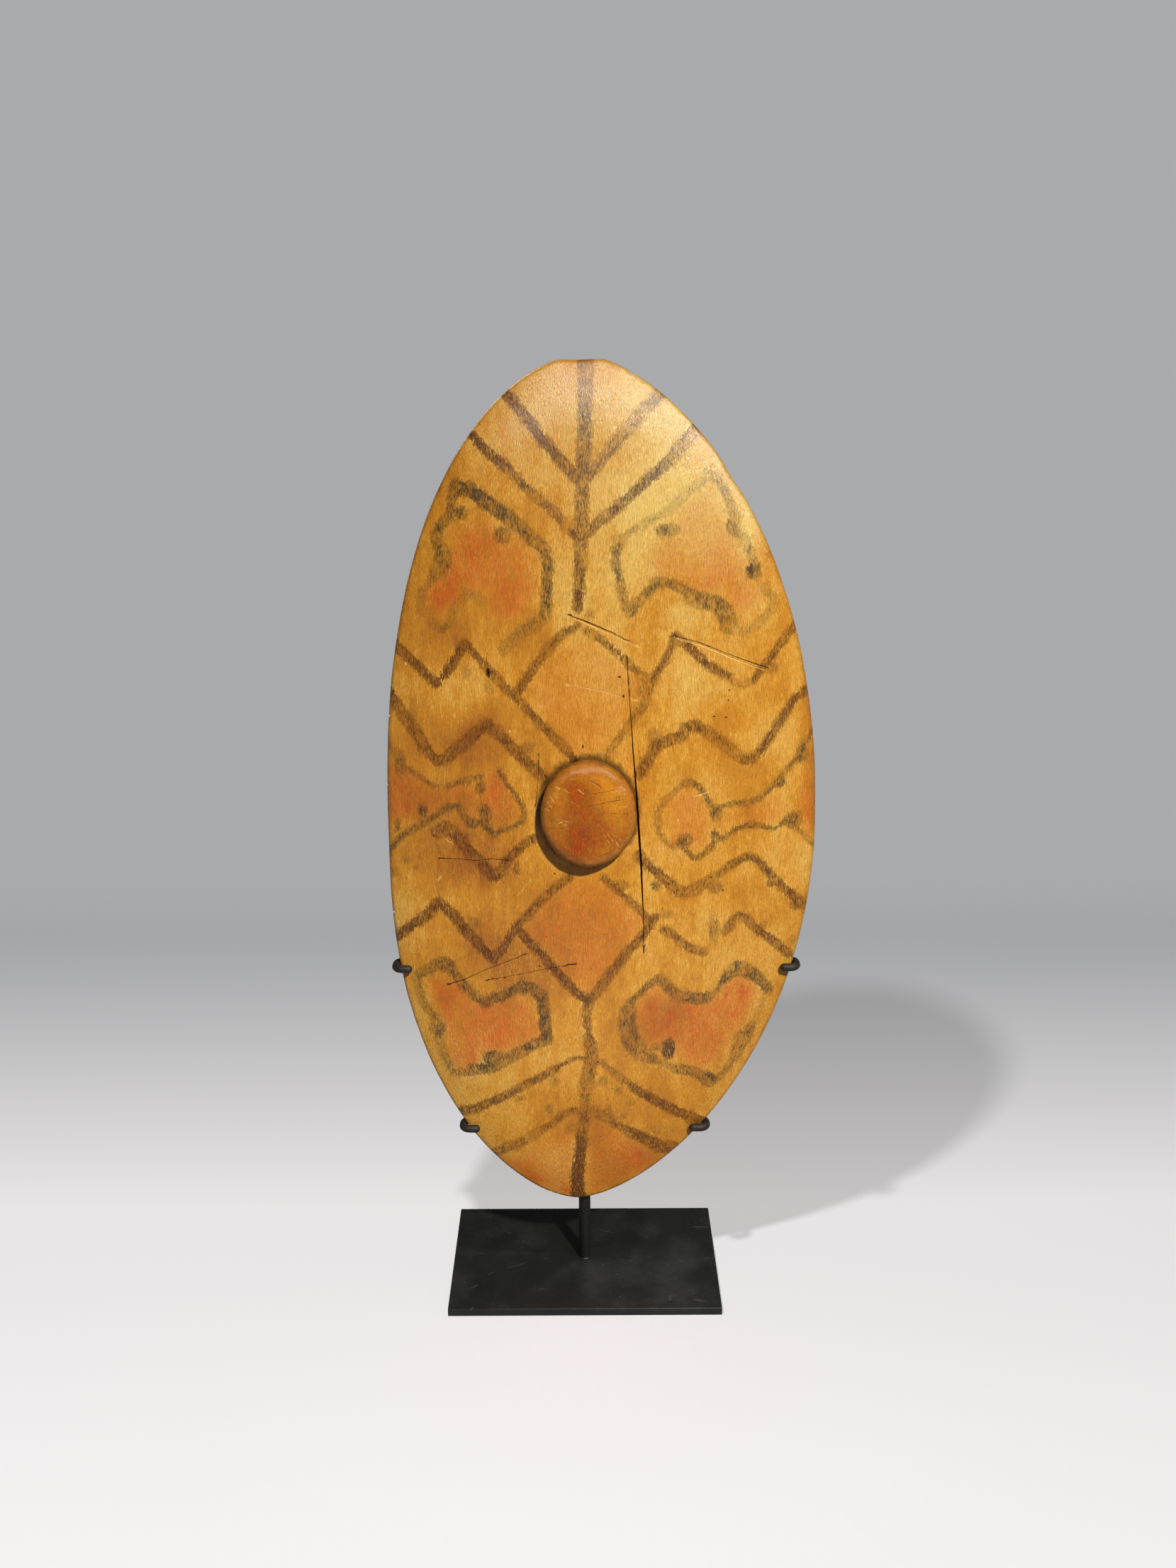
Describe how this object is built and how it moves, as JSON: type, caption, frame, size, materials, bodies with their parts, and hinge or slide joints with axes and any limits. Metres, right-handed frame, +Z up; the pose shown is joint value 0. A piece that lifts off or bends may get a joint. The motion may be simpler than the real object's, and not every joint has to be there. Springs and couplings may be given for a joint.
{
  "type": "rainforest shield on a display stand",
  "caption": "Tall oval fig-wood shield, painted in ochre, brown and charcoal, with a carved boss and hand grip, held upright in a black steel cradle stand.",
  "frame": {"origin": "centre of the base plate's underside, on the surface the stand rests on", "axes": "+Z up along the shield's long axis, -Y towards the painted front, +X to the right as seen from the front"},
  "size_m": [0.4478, 0.2, 1.008],
  "materials": {
    "painted_wood": "earth-pigment painted fig wood, worn and softly polished",
    "blackened_steel": "satin black painted steel with light dust and fine scratches"
  },
  "bodies": {
    "root": {"shield": "painted_wood", "base_plate": "blackened_steel", "post": "blackened_steel", "upper_cradle_rod": "blackened_steel", "lower_cradle_rod": "blackened_steel"}
  },
  "joints": []
}
